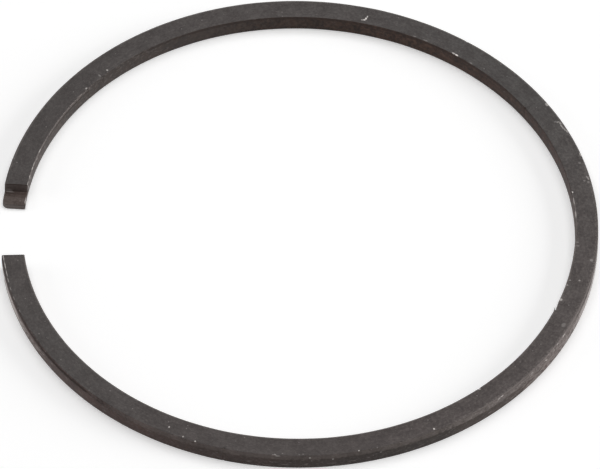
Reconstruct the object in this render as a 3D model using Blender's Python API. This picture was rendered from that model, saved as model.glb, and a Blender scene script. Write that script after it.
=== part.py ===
"""Compression ring for a piston: one piece of cast iron, split by a step-cut joint.

The ring lies on its lower side face, sprung open as it is before fitting, with its
gap towards -X. Its outline is that of a ring which presses evenly on its cylinder
once it is closed, so its ends stand out a little from a true circle.
"""
import math

import bpy
import bmesh
from mathutils import Matrix, Vector

MM = 0.001

# Fitted sizes, in millimetres
BORE = 80.0                # cylinder that the closed ring fits
HEIGHT = 2.5               # from the lower side face to the upper one
RADIAL_WIDTH = 3.2         # from the inner wall to the running face
CLOSED_GAP = 0.25          # left between the ends in the cylinder

# The ring out of its cylinder, in millimetres and degrees
FREE_GAP = 13.1            # from the shoulder of one end to the tip of the other
END_STANDOUT = 1.4         # how far the ends stand out from a true circle
END_SKEW = 3.0             # angle between an end face and the line across the gap

# Section, in millimetres
BAND_HEIGHT = 1.6          # upright band at the foot of the running face
FACE_TAPER = 0.02          # how far the running face leans in above the band
EDGE_BREAK = 0.15          # rounding of the edges
SCRAPING_BREAK = 0.05      # the lower outer edge is kept sharper
BREAK_STEPS = 2            # facets in each rounding

# Step-cut joint, in millimetres
LAP_LENGTH = 2.45          # of the tongue below the shoulder
LOWER_TONGUE = 0.85        # thickness of the tongue that lies below
LAP_CLEARANCE = 0.05       # between the two tongues in the closed ring
ROOT_RADIUS = 0.15         # where a tongue meets its shoulder
TONGUE_CORNER = 0.85       # rounding of the lower tongue's outer corner, in plan
TIP_CORNER = 0.25          # the same on the other end
CORNER_STEPS = 6
CORNER_OVERRUN = 0.02      # how far outside the ring a corner's round ends

# Chip knocked out of the upper inner edge, in degrees from the back of the ring
CHIP_START = -20.4
CHIP_DEEPEST = -22.9
CHIP_END = -23.2
CHIP_DEPTH = 0.32
CHIP_HEIGHT = 0.5

# Mesh
STATIONS = 230             # sections along the ring
MARGIN = 1.0               # how far a cutter reaches past what it cuts, in millimetres


# Outline of the free ring


def bending(phi, standout):
    """Radial and tangential shift, and radial slope, of the free ring at angle phi."""
    k = standout / 2
    radial = k * (1 - math.cos(phi) + 0.5 * phi * math.sin(phi))
    tangential = -k * (phi - 0.5 * math.sin(phi) - 0.5 * phi * math.cos(phi))
    slope = k * (1.5 * math.sin(phi) + 0.5 * phi * math.cos(phi))
    return radial, tangential, slope


def outline_point(radius, phi, offset=0.0):
    """Point at angle phi from the back, offset outwards from the middle of the section."""
    radial, tangential, slope = bending(phi, END_STANDOUT)
    along = Vector((-math.sin(phi), math.cos(phi)))
    out = Vector((math.cos(phi), math.sin(phi)))
    middle = (radius + radial) * out + tangential * along
    normal = (radius * out - (slope - tangential) * along).normalized()
    return middle + offset * normal


def free_ring():
    """Radius of the free outline, and the angle of its ends, from the fitted sizes.

    The length along the middle of the section stays as it is when the ring is closed,
    and the ends stand half the free gap from the line through the back of the ring.
    """
    closed_radius = (BORE - RADIAL_WIDTH) / 2
    length = 2 * math.pi * closed_radius - CLOSED_GAP
    low, high = closed_radius, 1.1 * closed_radius
    for _ in range(50):
        radius = (low + high) / 2
        end_angle = length / (2 * radius)
        if outline_point(radius, end_angle).y < FREE_GAP / 2:
            low = radius
        else:
            high = radius
    return radius, end_angle


# Section


def corner_points(middle, radius, start):
    """Quarter round about middle, from the start angle in degrees."""
    points = []
    for step in range(BREAK_STEPS + 1):
        turn = math.radians(start + 90 * step / BREAK_STEPS)
        points.append(middle + radius * Vector((math.cos(turn), math.sin(turn))))
    return points


def section_points():
    """Section of the ring, outwards and up, anticlockwise from its inner foot."""
    half = RADIAL_WIDTH / 2
    edge = EDGE_BREAK
    foot = SCRAPING_BREAK
    points = corner_points(Vector((-half + edge, edge)), edge, 180)
    points += corner_points(Vector((half - foot, foot)), foot, 270)
    points.append(Vector((half, BAND_HEIGHT)))
    points += corner_points(Vector((half - FACE_TAPER - edge, HEIGHT - edge)), edge, 0)
    points += corner_points(Vector((-half + edge, HEIGHT - edge)), edge, 90)
    return points


# Solids


def new_object(name, bm, parent):
    """Object made from a bmesh in millimetres, set under parent."""
    bmesh.ops.recalc_face_normals(bm, faces=bm.faces)
    bmesh.ops.scale(bm, vec=(MM, MM, MM), verts=bm.verts)
    mesh = bpy.data.meshes.new(name)
    bm.to_mesh(mesh)
    bm.free()
    obj = bpy.data.objects.new(name, mesh)
    obj.parent = parent
    bpy.context.collection.objects.link(obj)
    return obj


def swept_ring(radius, start, stop):
    """The section carried along the free outline, with flat caps at its two ends."""
    section = section_points()
    bm = bmesh.new()
    loops = []
    for station in range(STATIONS + 1):
        phi = start + (stop - start) * station / STATIONS
        loop = []
        for out, up in section:
            spot = outline_point(radius, phi, out)
            loop.append(bm.verts.new((spot.x, spot.y, up)))
        loops.append(loop)
    count = len(section)
    for near, far in zip(loops, loops[1:]):
        for i in range(count):
            j = (i + 1) % count
            bm.faces.new((near[i], near[j], far[j], far[i]))
    bm.faces.new(loops[0])
    bm.faces.new(reversed(loops[-1]))
    return bm


def prism(outline, depth_axis, start, stop, frame):
    """Solid between two planes, from an outline drawn in the other two directions."""
    bm = bmesh.new()
    ends = []
    for depth in (start, stop):
        ends.append([bm.verts.new(frame @ depth_axis(a, b, depth)) for a, b in outline])
    bm.faces.new(ends[0])
    bm.faces.new(reversed(ends[1]))
    for i in range(len(outline)):
        j = (i + 1) % len(outline)
        bm.faces.new((ends[0][i], ends[0][j], ends[1][j], ends[1][i]))
    return bm


def in_plan(a, b, depth):
    """Outline seen from above, given a height."""
    return Vector((a, b, depth))


def from_outside(a, b, depth):
    """Outline seen from outside the ring, along and up, given a place across it."""
    return Vector((depth, a, b))


def cut(ring, name, bm):
    """Takes the shape in bm away from the ring with a Boolean."""
    cutter = new_object(name, bm, ring.parent)
    cutter.hide_render = True
    cutter.display_type = "WIRE"
    boolean = ring.modifiers.new(name, "BOOLEAN")
    boolean.operation = "DIFFERENCE"
    boolean.solver = "EXACT"
    boolean.object = cutter


# The two ends


def end_frame(radius, end_angle, side):
    """Frame at an end: X out across the section, Y on towards the gap, Z up.

    The side is 1 for the end with the lower tongue and -1 for the other.
    """
    skew = math.radians(END_SKEW)
    middle = outline_point(radius, side * end_angle)
    out = Vector((-math.cos(skew), side * math.sin(skew), 0))
    onward = Vector((-math.sin(skew), -side * math.cos(skew), 0))
    frame = Matrix.Identity(4)
    frame.col[0].xyz = out
    frame.col[1].xyz = onward
    frame.translation = (middle.x, middle.y, 0)
    return frame


def tip_outline(radius, end_angle, side, frame, tip, corner):
    """Plan of what is cleared past the tip, with the ring's outer corner rounded.

    The round ends a little outside the ring, so that it crosses the outer face cleanly
    instead of only touching it.
    """
    to_end = frame.inverted()
    low, high = end_angle - 0.1, end_angle + 0.2
    for _ in range(50):
        phi = (low + high) / 2
        edge = outline_point(radius, side * phi, RADIAL_WIDTH / 2)
        spot = (to_end @ Vector((edge.x, edge.y, 0))).xy
        if spot.y < tip:
            low = phi
        else:
            high = phi
    before = outline_point(radius, side * (phi - 0.01), RADIAL_WIDTH / 2)
    back = ((to_end @ Vector((before.x, before.y, 0))).xy - spot).normalized()
    inward = Vector((-1, 0))
    start = spot - CORNER_OVERRUN * inward
    outline = []
    for step in range(CORNER_STEPS + 1):
        turn = math.radians(90 * step / CORNER_STEPS)
        outline.append(start + corner * ((1 - math.sin(turn)) * inward + (1 - math.cos(turn)) * back))
    past = tip + LAP_LENGTH + 2 * MARGIN
    outline.append(Vector((spot.x + MARGIN, outline[-1].y)))
    outline.append(Vector((spot.x + MARGIN, past)))
    outline.append(Vector((-RADIAL_WIDTH / 2 - MARGIN, past)))
    outline.append(Vector((-RADIAL_WIDTH / 2 - MARGIN, tip)))
    return outline


def relief_outline(shoulder, level, limit):
    """Side view of what is cleared beside a tongue, rounded where it meets the shoulder.

    The space runs on from the shoulder, between the tongue's level and the limit.
    """
    up = math.copysign(1, limit - level)
    outline = [Vector((shoulder, limit))]
    for step in range(BREAK_STEPS + 1):
        turn = math.radians(90 * step / BREAK_STEPS)
        along = shoulder + ROOT_RADIUS * (1 - math.cos(turn))
        outline.append(Vector((along, level + up * ROOT_RADIUS * (1 - math.sin(turn)))))
    past = shoulder + 2 * LAP_LENGTH + MARGIN
    outline.append(Vector((past, level)))
    outline.append(Vector((past, limit)))
    return outline


def cut_end(ring, radius, end_angle, side, tip, corner, shoulder, level, limit):
    """Cuts one end to its tongue: the space past its tip, then the space beside it."""
    name = "lower_tongue" if side > 0 else "upper_tongue"
    frame = end_frame(radius, end_angle, side)
    plan = tip_outline(radius, end_angle, side, frame, tip, corner)
    cut(ring, name + "_tip", prism(plan, in_plan, -MARGIN, HEIGHT + MARGIN, frame))
    view = relief_outline(shoulder, level, limit)
    across = RADIAL_WIDTH / 2 + MARGIN
    cut(ring, name + "_relief", prism(view, from_outside, -across, across, frame))


def cut_chip(ring, radius):
    """The chip in the upper inner edge: a long slope in, then a short one out."""
    inner = -RADIAL_WIDTH / 2
    plan = [
        outline_point(radius, math.radians(CHIP_START), inner - CHIP_DEPTH),
        outline_point(radius, math.radians(CHIP_START), inner),
        outline_point(radius, math.radians(CHIP_DEEPEST), inner + CHIP_DEPTH),
        outline_point(radius, math.radians(CHIP_END), inner),
        outline_point(radius, math.radians(CHIP_END), inner - CHIP_DEPTH),
    ]
    floor = HEIGHT - CHIP_HEIGHT
    cut(ring, "chip", prism(plan, in_plan, floor, HEIGHT + MARGIN, Matrix.Identity(4)))


# Finish and place


def phosphated_iron():
    """Black phosphated cast iron."""
    material = bpy.data.materials.new("phosphated_iron")
    material.use_nodes = True
    shader = material.node_tree.nodes["Principled BSDF"]
    shader.inputs["Base Color"].default_value = (0.075, 0.069, 0.066, 1)
    shader.inputs["Metallic"].default_value = 0.6
    shader.inputs["Roughness"].default_value = 0.5
    return material


def centre_on_box(ring):
    """Moves the datum so that the ring's box is centred on the origin in plan."""
    evaluated = ring.evaluated_get(bpy.context.evaluated_depsgraph_get())
    spots = [ring.matrix_world @ vert.co for vert in evaluated.data.vertices]
    middle_x = (min(spot.x for spot in spots) + max(spot.x for spot in spots)) / 2
    middle_y = (min(spot.y for spot in spots) + max(spot.y for spot in spots)) / 2
    ring.parent.location = (-middle_x, -middle_y, 0)


def build():
    """Makes the ring."""
    for obj in list(bpy.data.objects):
        bpy.data.objects.remove(obj)
    datum = bpy.data.objects.new("ring_datum", None)
    bpy.context.collection.objects.link(datum)

    radius, end_angle = free_ring()
    start = -end_angle - MARGIN / radius
    stop = end_angle + (LAP_LENGTH + MARGIN) / radius
    ring = new_object("piston_ring", swept_ring(radius, start, stop), datum)
    ring.data.materials.append(phosphated_iron())

    cut_end(ring, radius, end_angle, 1, tip=LAP_LENGTH, corner=TONGUE_CORNER,
            shoulder=0, level=LOWER_TONGUE, limit=HEIGHT + MARGIN)
    cut_end(ring, radius, end_angle, -1, tip=0, corner=TIP_CORNER,
            shoulder=-LAP_LENGTH - CLOSED_GAP, level=LOWER_TONGUE + LAP_CLEARANCE,
            limit=-MARGIN)
    cut_chip(ring, radius)

    ring.data.shade_smooth()
    ring.data.set_sharp_from_angle(angle=math.radians(30))
    bpy.context.view_layer.update()
    centre_on_box(ring)


build()
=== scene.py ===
# %% [markdown]
# # A piston ring, sprung open on a table
# This lesson dresses one imported part: a compression ring of black phosphated cast iron. A
# real ring is turned a little larger than its cylinder, split, and left to spring open,
# so it is not a circle: its outline follows the bending of an evenly pressed ring. It
# gives the true size and place of everything that is made here, and its box is kept.

import math

import bmesh
import bpy
import numpy as np
from mathutils import Matrix, Vector


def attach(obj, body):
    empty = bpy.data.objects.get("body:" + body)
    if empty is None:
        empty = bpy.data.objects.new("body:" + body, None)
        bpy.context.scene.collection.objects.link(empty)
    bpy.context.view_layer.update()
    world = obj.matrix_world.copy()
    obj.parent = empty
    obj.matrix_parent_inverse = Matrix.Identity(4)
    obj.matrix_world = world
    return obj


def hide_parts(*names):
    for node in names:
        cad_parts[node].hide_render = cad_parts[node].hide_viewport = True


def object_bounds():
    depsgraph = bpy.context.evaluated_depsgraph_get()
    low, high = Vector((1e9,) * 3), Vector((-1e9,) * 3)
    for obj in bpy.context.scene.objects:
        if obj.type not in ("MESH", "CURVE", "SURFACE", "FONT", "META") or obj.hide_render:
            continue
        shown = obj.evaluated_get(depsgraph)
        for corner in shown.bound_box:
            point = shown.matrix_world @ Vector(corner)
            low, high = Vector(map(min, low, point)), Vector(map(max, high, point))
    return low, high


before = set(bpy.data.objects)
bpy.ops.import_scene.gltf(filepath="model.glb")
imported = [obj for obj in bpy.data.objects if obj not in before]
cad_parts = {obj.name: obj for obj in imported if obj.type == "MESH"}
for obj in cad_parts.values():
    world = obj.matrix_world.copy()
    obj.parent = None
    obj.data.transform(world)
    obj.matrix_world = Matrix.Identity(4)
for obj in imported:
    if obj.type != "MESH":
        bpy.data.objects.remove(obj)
cad_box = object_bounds()
lowest, highest = cad_box
print("packed ring, mm:", [round(1000 * (b - a), 2) for a, b in zip(lowest, highest)])

# %% [markdown]
# The sizes of the ring are the ones on its drawing, in millimetres. The blank is made in
# millimetres too, because a round of a tenth of a millimetre is easier to cut cleanly as
# 0.1 than as 0.0001. The finished mesh is brought to metres in one step at the end.

# %% Sizes on the drawing
MM = 0.001
BORE = 80.0              # cylinder that the closed ring fits
HEIGHT = 2.5
WIDTH = 3.2              # radial width, from the inner wall to the running face
CLOSED_GAP = 0.25
FREE_GAP = 13.1          # from the shoulder of one end to the tip of the other
STAND_OUT = 1.4          # how far the free ends stand out from a true circle
END_SKEW = 3.0           # degrees between an end face and the line across the gap
BAND_HEIGHT = 1.6        # upright band at the foot of the running face
FACE_TAPER = 0.02        # how far the running face leans in above the band
EDGE_BREAK = 0.15
SCRAPING_EDGE = 0.05     # the lower outer edge is kept sharper
LAP = 2.45               # length of the tongues of the step-cut joint
LOWER_TONGUE = 0.85      # thickness of the tongue that lies below
LAP_CLEARANCE = 0.05
ROOT_RADIUS = 0.15
TONGUE_CORNER = 0.85     # rounding of the lower tongue's outer corner, in plan
TIP_CORNER = 0.25
CORNER_OVERRUN = 0.02    # how far outside the ring a corner's round ends
MARGIN = 1.0             # how far a cutter reaches past what it cuts
print("radial width to bore:", round(WIDTH / BORE, 4))


# %% [markdown]
# The free outline. A ring that presses evenly all round when it is closed has, when it is
# open, a curvature that is lowest at the ends. Thin-ring bending theory gives the shift of
# each point outwards and along, as a function of its angle from the back of the ring. The
# length of the middle line stays the same, which fixes the free radius: it is found by
# halving an interval until half the free gap comes out right.

# %% Outline of the free ring
def middle_line(radius, phi):
    """Points and outward normals of the ring's middle line, at angles phi from its back."""
    phi = np.asarray(phi, dtype=float)
    k = STAND_OUT / 2
    radial = k * (1 - np.cos(phi) + 0.5 * phi * np.sin(phi))
    tangential = -k * (phi - 0.5 * np.sin(phi) - 0.5 * phi * np.cos(phi))
    slope = k * (1.5 * np.sin(phi) + 0.5 * phi * np.cos(phi))
    out = np.stack([np.cos(phi), np.sin(phi)], -1)
    along = np.stack([-np.sin(phi), np.cos(phi)], -1)
    point = (radius + radial)[..., None] * out + tangential[..., None] * along
    normal = radius * out - (slope - tangential)[..., None] * along
    return point, normal / np.linalg.norm(normal, axis=-1, keepdims=True)


HALVINGS = 50
closed_radius = (BORE - WIDTH) / 2
ring_length = 2 * math.pi * closed_radius - CLOSED_GAP
smallest, largest = closed_radius, 1.1 * closed_radius
for _ in range(HALVINGS):
    free_radius = (smallest + largest) / 2
    end_angle = ring_length / (2 * free_radius)
    end_point, _ = middle_line(free_radius, end_angle)
    if end_point[1] < FREE_GAP / 2:
        smallest = free_radius
    else:
        largest = free_radius
print("free radius, mm:", round(free_radius, 3), "half turn:", round(math.degrees(end_angle), 2))

# %% [markdown]
# The camera. It looks down on the ring at about 49 degrees through a long lens from 1.6 m
# away, so the far side is hardly smaller than the near side. Its height, distance and turns
# were found by fitting the ring's outline to the edges in the photograph, and the small
# moves to the side and down put the ring where the photograph has it in the frame.

# %% Place the camera
CENTRE = (0.6433, 0.0013)           # of the free ring, in mm from the middle of its box
ELEVATION = 48.76                   # degrees above the table
HEADING = 0.448                     # degrees round the ring
ROLL = 0.6807                       # degrees that the camera is tilted
DISTANCE = 1.6114                   # metres
FOCAL_LENGTH = 692.57               # mm
SIDE_STEP = (-0.6254, -0.5835, 0)   # mm to the side and down

ring_centre = Vector((*CENTRE, HEIGHT / 2)) * MM
camera_data = bpy.data.cameras.new("Camera")
camera_data.lens = FOCAL_LENGTH
camera = bpy.data.objects.new("Camera", camera_data)
bpy.context.collection.objects.link(camera)
turn = Matrix.Rotation(math.radians(HEADING), 3, "Z")
turn = turn @ Matrix.Rotation(math.radians(90 - ELEVATION), 3, "X")
turn_and_roll = turn @ Matrix.Rotation(math.radians(ROLL), 3, "Z")
camera.location = ring_centre + turn @ Vector((0, 0, DISTANCE))
camera.location += turn_and_roll @ Vector(SIDE_STEP) * MM
camera.rotation_euler = turn_and_roll.to_euler()
bpy.context.scene.camera = camera
print("camera at, m:", [round(value, 3) for value in camera.location])


# %% [markdown]
# Node trees are easier to read as formulas. `Term` stands for a number that a tree works
# out: adding or multiplying two of them adds a Math node. `add_node` makes one node and
# fills its sockets by name, and `arrange` lays the finished tree out in columns.

# %% Helpers for node trees
def feed(tree, socket, value):
    """Links or sets a socket."""
    if isinstance(value, Term):
        value = value.socket
    if isinstance(value, bpy.types.NodeSocket):
        tree.links.new(value, socket)
    else:
        socket.default_value = value


def add_node(tree, kind, inputs=None, **settings):
    """Makes a node with its settings, and feeds its inputs by name or number."""
    node = tree.nodes.new(kind)
    for name, value in settings.items():
        setattr(node, name, value)
    for name, value in (inputs or {}).items():
        feed(tree, node.inputs[name], value)
    return node


class Term:
    """A number that a node tree works out, so that a formula can be written as one."""

    def __init__(self, tree, socket):
        self.tree = tree
        self.socket = socket

    def math(self, operation, first, second=0.0):
        inputs = {0: first, 1: second}
        node = add_node(self.tree, "ShaderNodeMath", inputs, operation=operation)
        return Term(self.tree, node.outputs[0])

    def __add__(self, other):
        return self.math("ADD", self, other)

    def __radd__(self, other):
        return self.math("ADD", other, self)

    def __sub__(self, other):
        return self.math("SUBTRACT", self, other)

    def __rsub__(self, other):
        return self.math("SUBTRACT", other, self)

    def __mul__(self, other):
        return self.math("MULTIPLY", self, other)

    def __rmul__(self, other):
        return self.math("MULTIPLY", other, self)

    def __truediv__(self, other):
        return self.math("DIVIDE", self, other)

    def sine(self):
        return self.math("SINE", self)

    def cosine(self):
        return self.math("COSINE", self)

    def absolute(self):
        return self.math("ABSOLUTE", self)

    def above(self, limit):
        return self.math("GREATER_THAN", self, limit)

    def larger(self, other):
        return self.math("MAXIMUM", self, other)

    def smaller(self, other):
        return self.math("MINIMUM", self, other)

    def ramp(self, low, high, start=0.0, stop=1.0):
        """Smooth change from start to stop as the number goes from low to high."""
        inputs = {"Value": self, 1: low, 2: high, 3: start, 4: stop}
        kind = "ShaderNodeMapRange"
        node = add_node(self.tree, kind, inputs, interpolation_type="SMOOTHSTEP")
        return Term(self.tree, node.outputs["Result"])


def arrange(tree, title=None):
    """Puts each node in a column to the right of everything that feeds it."""
    column = {node: 0 for node in tree.nodes}
    for _ in range(len(tree.nodes)):
        moved = False
        for link in tree.links:
            if column[link.to_node] <= column[link.from_node]:
                column[link.to_node] = column[link.from_node] + 1
                moved = True
        if not moved:
            break
    rows = {}
    for node in tree.nodes:
        row = rows.get(column[node], 0)
        node.location = (220 * column[node], -170 * row)
        rows[column[node]] = row + 1
    print(title or tree.name, "has", len(tree.nodes), "nodes in", len(rows), "columns")


# %% [markdown]
# Materials come first as empty names, because the tree that makes the ring hands each face
# to its own finish: the lapped side faces, the turned inner wall, the band and the taper of
# the running face, the milled steps of the joint, and the broken edges beside them.

# %% Names of the finishes
def new_material(name):
    """Material without nodes yet."""
    material = bpy.data.materials.new(name)
    material.use_nodes = True
    material.node_tree.nodes.clear()
    return material


lapped_side = new_material("lapped_side")
turned_wall = new_material("turned_wall")
running_face = new_material("running_face")
tapered_face = new_material("tapered_face")
milled_step = new_material("milled_step")
broken_edge = new_material("broken_edge")
named = [lapped_side, turned_wall, running_face, tapered_face, milled_step, broken_edge]
print("finishes, still empty:", [material.name for material in named])

# %% [markdown]
# The ring's body is a section carried along the free outline. It could be a curve with a
# bevel object, or a loop in code. Geometry Nodes suit it best, because its whole shape
# follows a rule: the tree takes the sizes as named inputs, and the same tree makes any ring.
# First comes the path. A straight line is cut into stations, each station gets its angle
# from the back of the ring, and the bending formula moves it to its place.

# %% Tree, part 1: the path
ring_tree = bpy.data.node_groups.new("Free ring", "GeometryNodeTree")
SIZES = {
    "Free radius": free_radius,
    "Stand-out": STAND_OUT,
    "Start angle": -end_angle - MARGIN / free_radius,
    "Stop angle": end_angle + (LAP + MARGIN) / free_radius,
    "Radial width": WIDTH,
    "Height": HEIGHT,
    "Band height": BAND_HEIGHT,
    "Face taper": FACE_TAPER,
    "Edge break": EDGE_BREAK,
    "Scraping edge": SCRAPING_EDGE,
    "Uneven edges": 0.35,
}
COUNTS = {"Stations": 1800, "Steps in a round": 4, "Seed": 7}
for name in SIZES:
    ring_tree.interface.new_socket(name, in_out="INPUT", socket_type="NodeSocketFloat")
for name in COUNTS:
    ring_tree.interface.new_socket(name, in_out="INPUT", socket_type="NodeSocketInt")
for name in ("Side face", "Inner wall", "Running face", "Tapered face"):
    ring_tree.interface.new_socket(name, in_out="INPUT", socket_type="NodeSocketMaterial")
ring_tree.interface.new_socket("Geometry", in_out="OUTPUT", socket_type="NodeSocketGeometry")
given = ring_tree.nodes.new("NodeGroupInput").outputs


def size(name):
    """One of the tree's named inputs, for use in a formula."""
    return Term(ring_tree, given[name])


def read(tree, name, kind="FLOAT"):
    """A value that was stored on the points under a name."""
    node = add_node(tree, "GeometryNodeInputNamedAttribute", {"Name": name}, data_type=kind)
    return Term(tree, node.outputs["Attribute"])


def store(tree, geometry, name, value, kind="FLOAT"):
    """Stores a value on every point, so that later nodes and materials can read it."""
    inputs = {"Geometry": geometry, "Name": name, "Value": value}
    node = add_node(tree, "GeometryNodeStoreNamedAttribute", inputs, data_type=kind)
    return node.outputs["Geometry"]


def vector(tree, x=0.0, y=0.0, z=0.0):
    """Vector from three numbers."""
    node = add_node(tree, "ShaderNodeCombineXYZ", {"X": x, "Y": y, "Z": z})
    return node.outputs["Vector"]


line = add_node(ring_tree, "GeometryNodeCurvePrimitiveLine").outputs["Curve"]
inputs = {"Curve": line, "Count": given["Stations"]}
line = add_node(ring_tree, "GeometryNodeResampleCurve", inputs, mode="COUNT").outputs["Curve"]
progress = Term(ring_tree, ring_tree.nodes.new("GeometryNodeSplineParameter").outputs["Factor"])
angle = size("Start angle") + progress * (size("Stop angle") - size("Start angle"))
line = store(ring_tree, line, "angle", angle)

phi = read(ring_tree, "angle")
half = size("Stand-out") * 0.5
radial = half * (1 - phi.cosine() + 0.5 * phi * phi.sine())
tangential = half * (0.5 * phi.sine() + 0.5 * phi * phi.cosine() - phi)
reach = size("Free radius") + radial
place_x = reach * phi.cosine() - tangential * phi.sine()
place_y = reach * phi.sine() + tangential * phi.cosine()
inputs = {"Geometry": line, "Position": vector(ring_tree, place_x, place_y)}
path = add_node(ring_tree, "GeometryNodeSetPosition", inputs).outputs["Geometry"]
inputs = {"Curve": path}
path = add_node(ring_tree, "GeometryNodeSetCurveNormal", inputs, mode="Z_UP").outputs["Curve"]
tangent = ring_tree.nodes.new("GeometryNodeInputTangent").outputs["Tangent"]
inputs = {0: tangent, 1: (0.0, 0.0, 1.0)}
across = add_node(ring_tree, "ShaderNodeVectorMath", inputs, operation="CROSS_PRODUCT")
path = store(ring_tree, path, "outwards", across.outputs["Vector"], "FLOAT_VECTOR")
print("nodes for the path:", len(ring_tree.nodes))

# %% [markdown]
# Then the section: five corners, from the inner top round to the inner foot. The outer wall
# has a corner of its own where the upright band stops and the taper begins. A profile that
# is swept along a level curve comes out with its Y axis pointing down, so heights are drawn
# downwards here. A Fillet node rounds each corner by its own radius. Before that, every
# corner stores where it is, so the points of its round know how far they lie from the
# sharp corner that they replaced.

# %% Tree, part 2: the section
INNER_TOP, OUTER_TOP, BAND, OUTER_FOOT, INNER_FOOT = range(5)
BAND_BLEND = 2.0         # radius between the band and the taper
BLEND_STEPS = 1


def by_corner(kind, values):
    """One value for each of the five corners."""
    node = ring_tree.nodes.new("GeometryNodeIndexSwitch")
    node.data_type = kind
    while len(node.index_switch_items) < len(values):
        node.index_switch_items.new()
    number = ring_tree.nodes.new("GeometryNodeInputIndex").outputs["Index"]
    feed(ring_tree, node.inputs["Index"], number)
    for place, value in enumerate(values):
        feed(ring_tree, node.inputs[1 + place], value)
    return node.outputs["Output"]


inner = size("Radial width") * -0.5
outer = size("Radial width") * 0.5
top = size("Height") * -1.0
section_corners = {
    INNER_TOP: vector(ring_tree, inner, top),
    OUTER_TOP: vector(ring_tree, outer - size("Face taper"), top),
    BAND: vector(ring_tree, outer, size("Band height") * -1.0),
    OUTER_FOOT: vector(ring_tree, outer, 0.0),
    INNER_FOOT: vector(ring_tree, inner, 0.0),
}
usual = given["Edge break"]
radii = [usual, usual, BAND_BLEND, given["Scraping edge"], usual]
fine = given["Steps in a round"]
steps = [fine, fine, BLEND_STEPS, fine, fine]

inputs = {"Resolution": len(section_corners)}
section = add_node(ring_tree, "GeometryNodeCurvePrimitiveCircle", inputs).outputs["Curve"]
inputs = {"Geometry": section, "Position": by_corner("VECTOR", section_corners.values())}
section = add_node(ring_tree, "GeometryNodeSetPosition", inputs).outputs["Geometry"]
here = ring_tree.nodes.new("GeometryNodeInputPosition").outputs["Position"]
section = store(ring_tree, section, "corner", here, "FLOAT_VECTOR")
number = ring_tree.nodes.new("GeometryNodeInputIndex").outputs["Index"]
section = store(ring_tree, section, "which", number, "FLOAT")
inputs = {"Curve": section, "Count": by_corner("INT", steps), "Radius": by_corner("FLOAT", radii)}
section = add_node(ring_tree, "GeometryNodeFilletCurve", inputs, mode="POLY").outputs["Curve"]
inputs = {0: here, 1: read(ring_tree, "corner", "FLOAT_VECTOR")}
shift = add_node(ring_tree, "ShaderNodeVectorMath", inputs, operation="SUBTRACT")
section = store(ring_tree, section, "from_corner", shift.outputs["Vector"], "FLOAT_VECTOR")
print("nodes for the path and the section:", len(ring_tree.nodes))

# %% [markdown]
# Carrying the section along the path gives a clean bar. A real ring has been tumbled in a
# drum and dropped in boxes, so its edges are not evenly broken. Noise along the ring makes
# each round a little larger or smaller about its sharp corner, and now and then a sharper
# peak of the noise makes a small knock. This is real shape, so it shows in any light.

# %% Tree, part 3: the sweep and its uneven edges
SWELL_SPACING = 5.0      # along the ring, in millimetres
KNOCK_SPACING = 0.9
KNOCK_GROWTH = 3.0       # how much more a knock adds than a swell
EDGE_LANE = 13.0         # how far apart two edges, seeds or kinds of noise are read
SEED_LANE = 5.0
KNOCK_LANE = 40.0


def split(tree, place):
    """The three numbers of a vector."""
    parts = add_node(tree, "ShaderNodeSeparateXYZ", {0: place}).outputs
    return [Term(tree, part) for part in parts]


def noise(tree, place, detail, roughness=0.5, distortion=0.0):
    """Noise between 0 and 1, at a place that is already divided by the size of its grain."""
    inputs = {
        "Vector": place,
        "Scale": 1.0,
        "Detail": detail,
        "Roughness": roughness,
        "Distortion": distortion,
    }
    return Term(tree, add_node(tree, "ShaderNodeTexNoise", inputs).outputs["Fac"])


inputs = {"Curve": path, "Profile Curve": section, "Fill Caps": True}
bar = add_node(ring_tree, "GeometryNodeCurveToMesh", inputs).outputs["Mesh"]
arc_length = read(ring_tree, "angle") * size("Free radius")
lane = read(ring_tree, "which") * EDGE_LANE + size("Seed") * SEED_LANE


def noise_along(spacing, lane_shift):
    """Noise between 0 and 1 that changes along the ring, and differs from edge to edge."""
    place = vector(ring_tree, arc_length / spacing, lane + lane_shift)
    return noise(ring_tree, place, detail=1.0)


swell = (noise_along(SWELL_SPACING, 0.0) - 0.5) * 2.0
knock = noise_along(KNOCK_SPACING, KNOCK_LANE).ramp(0.68, 0.8)
growth = size("Uneven edges") * (swell + knock * KNOCK_GROWTH)
growth = growth * (read(ring_tree, "which") - float(BAND)).absolute().above(0.5)
out_from, down_from, _ = split(ring_tree, read(ring_tree, "from_corner", "FLOAT_VECTOR"))
shift_out = out_from * growth
shift_up = down_from * growth * -1.0
inputs = {0: read(ring_tree, "outwards", "FLOAT_VECTOR"), "Scale": shift_out}
sideways = add_node(ring_tree, "ShaderNodeVectorMath", inputs, operation="SCALE")
inputs = {0: sideways.outputs["Vector"], 1: vector(ring_tree, 0.0, 0.0, shift_up)}
move = add_node(ring_tree, "ShaderNodeVectorMath", inputs, operation="ADD")
inputs = {"Geometry": bar, "Offset": move.outputs["Vector"]}
bar = add_node(ring_tree, "GeometryNodeSetPosition", inputs).outputs["Geometry"]
print("nodes with the sweep:", len(ring_tree.nodes))

# %% [markdown]
# Last, each face gets its finish by the way it looks: up or down is a side face, away from
# the middle is the running face, and the rest is the inner wall. What lies above the band
# on the running face was only turned, not lapped, so it has a duller finish of its own.
# The nodes run in turn, so the first one may take every face and later ones take theirs.

# %% Tree, part 4: faces and finishes
LEVEL_ENOUGH = 0.7       # upward part of a face's normal that makes it a side face

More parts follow.
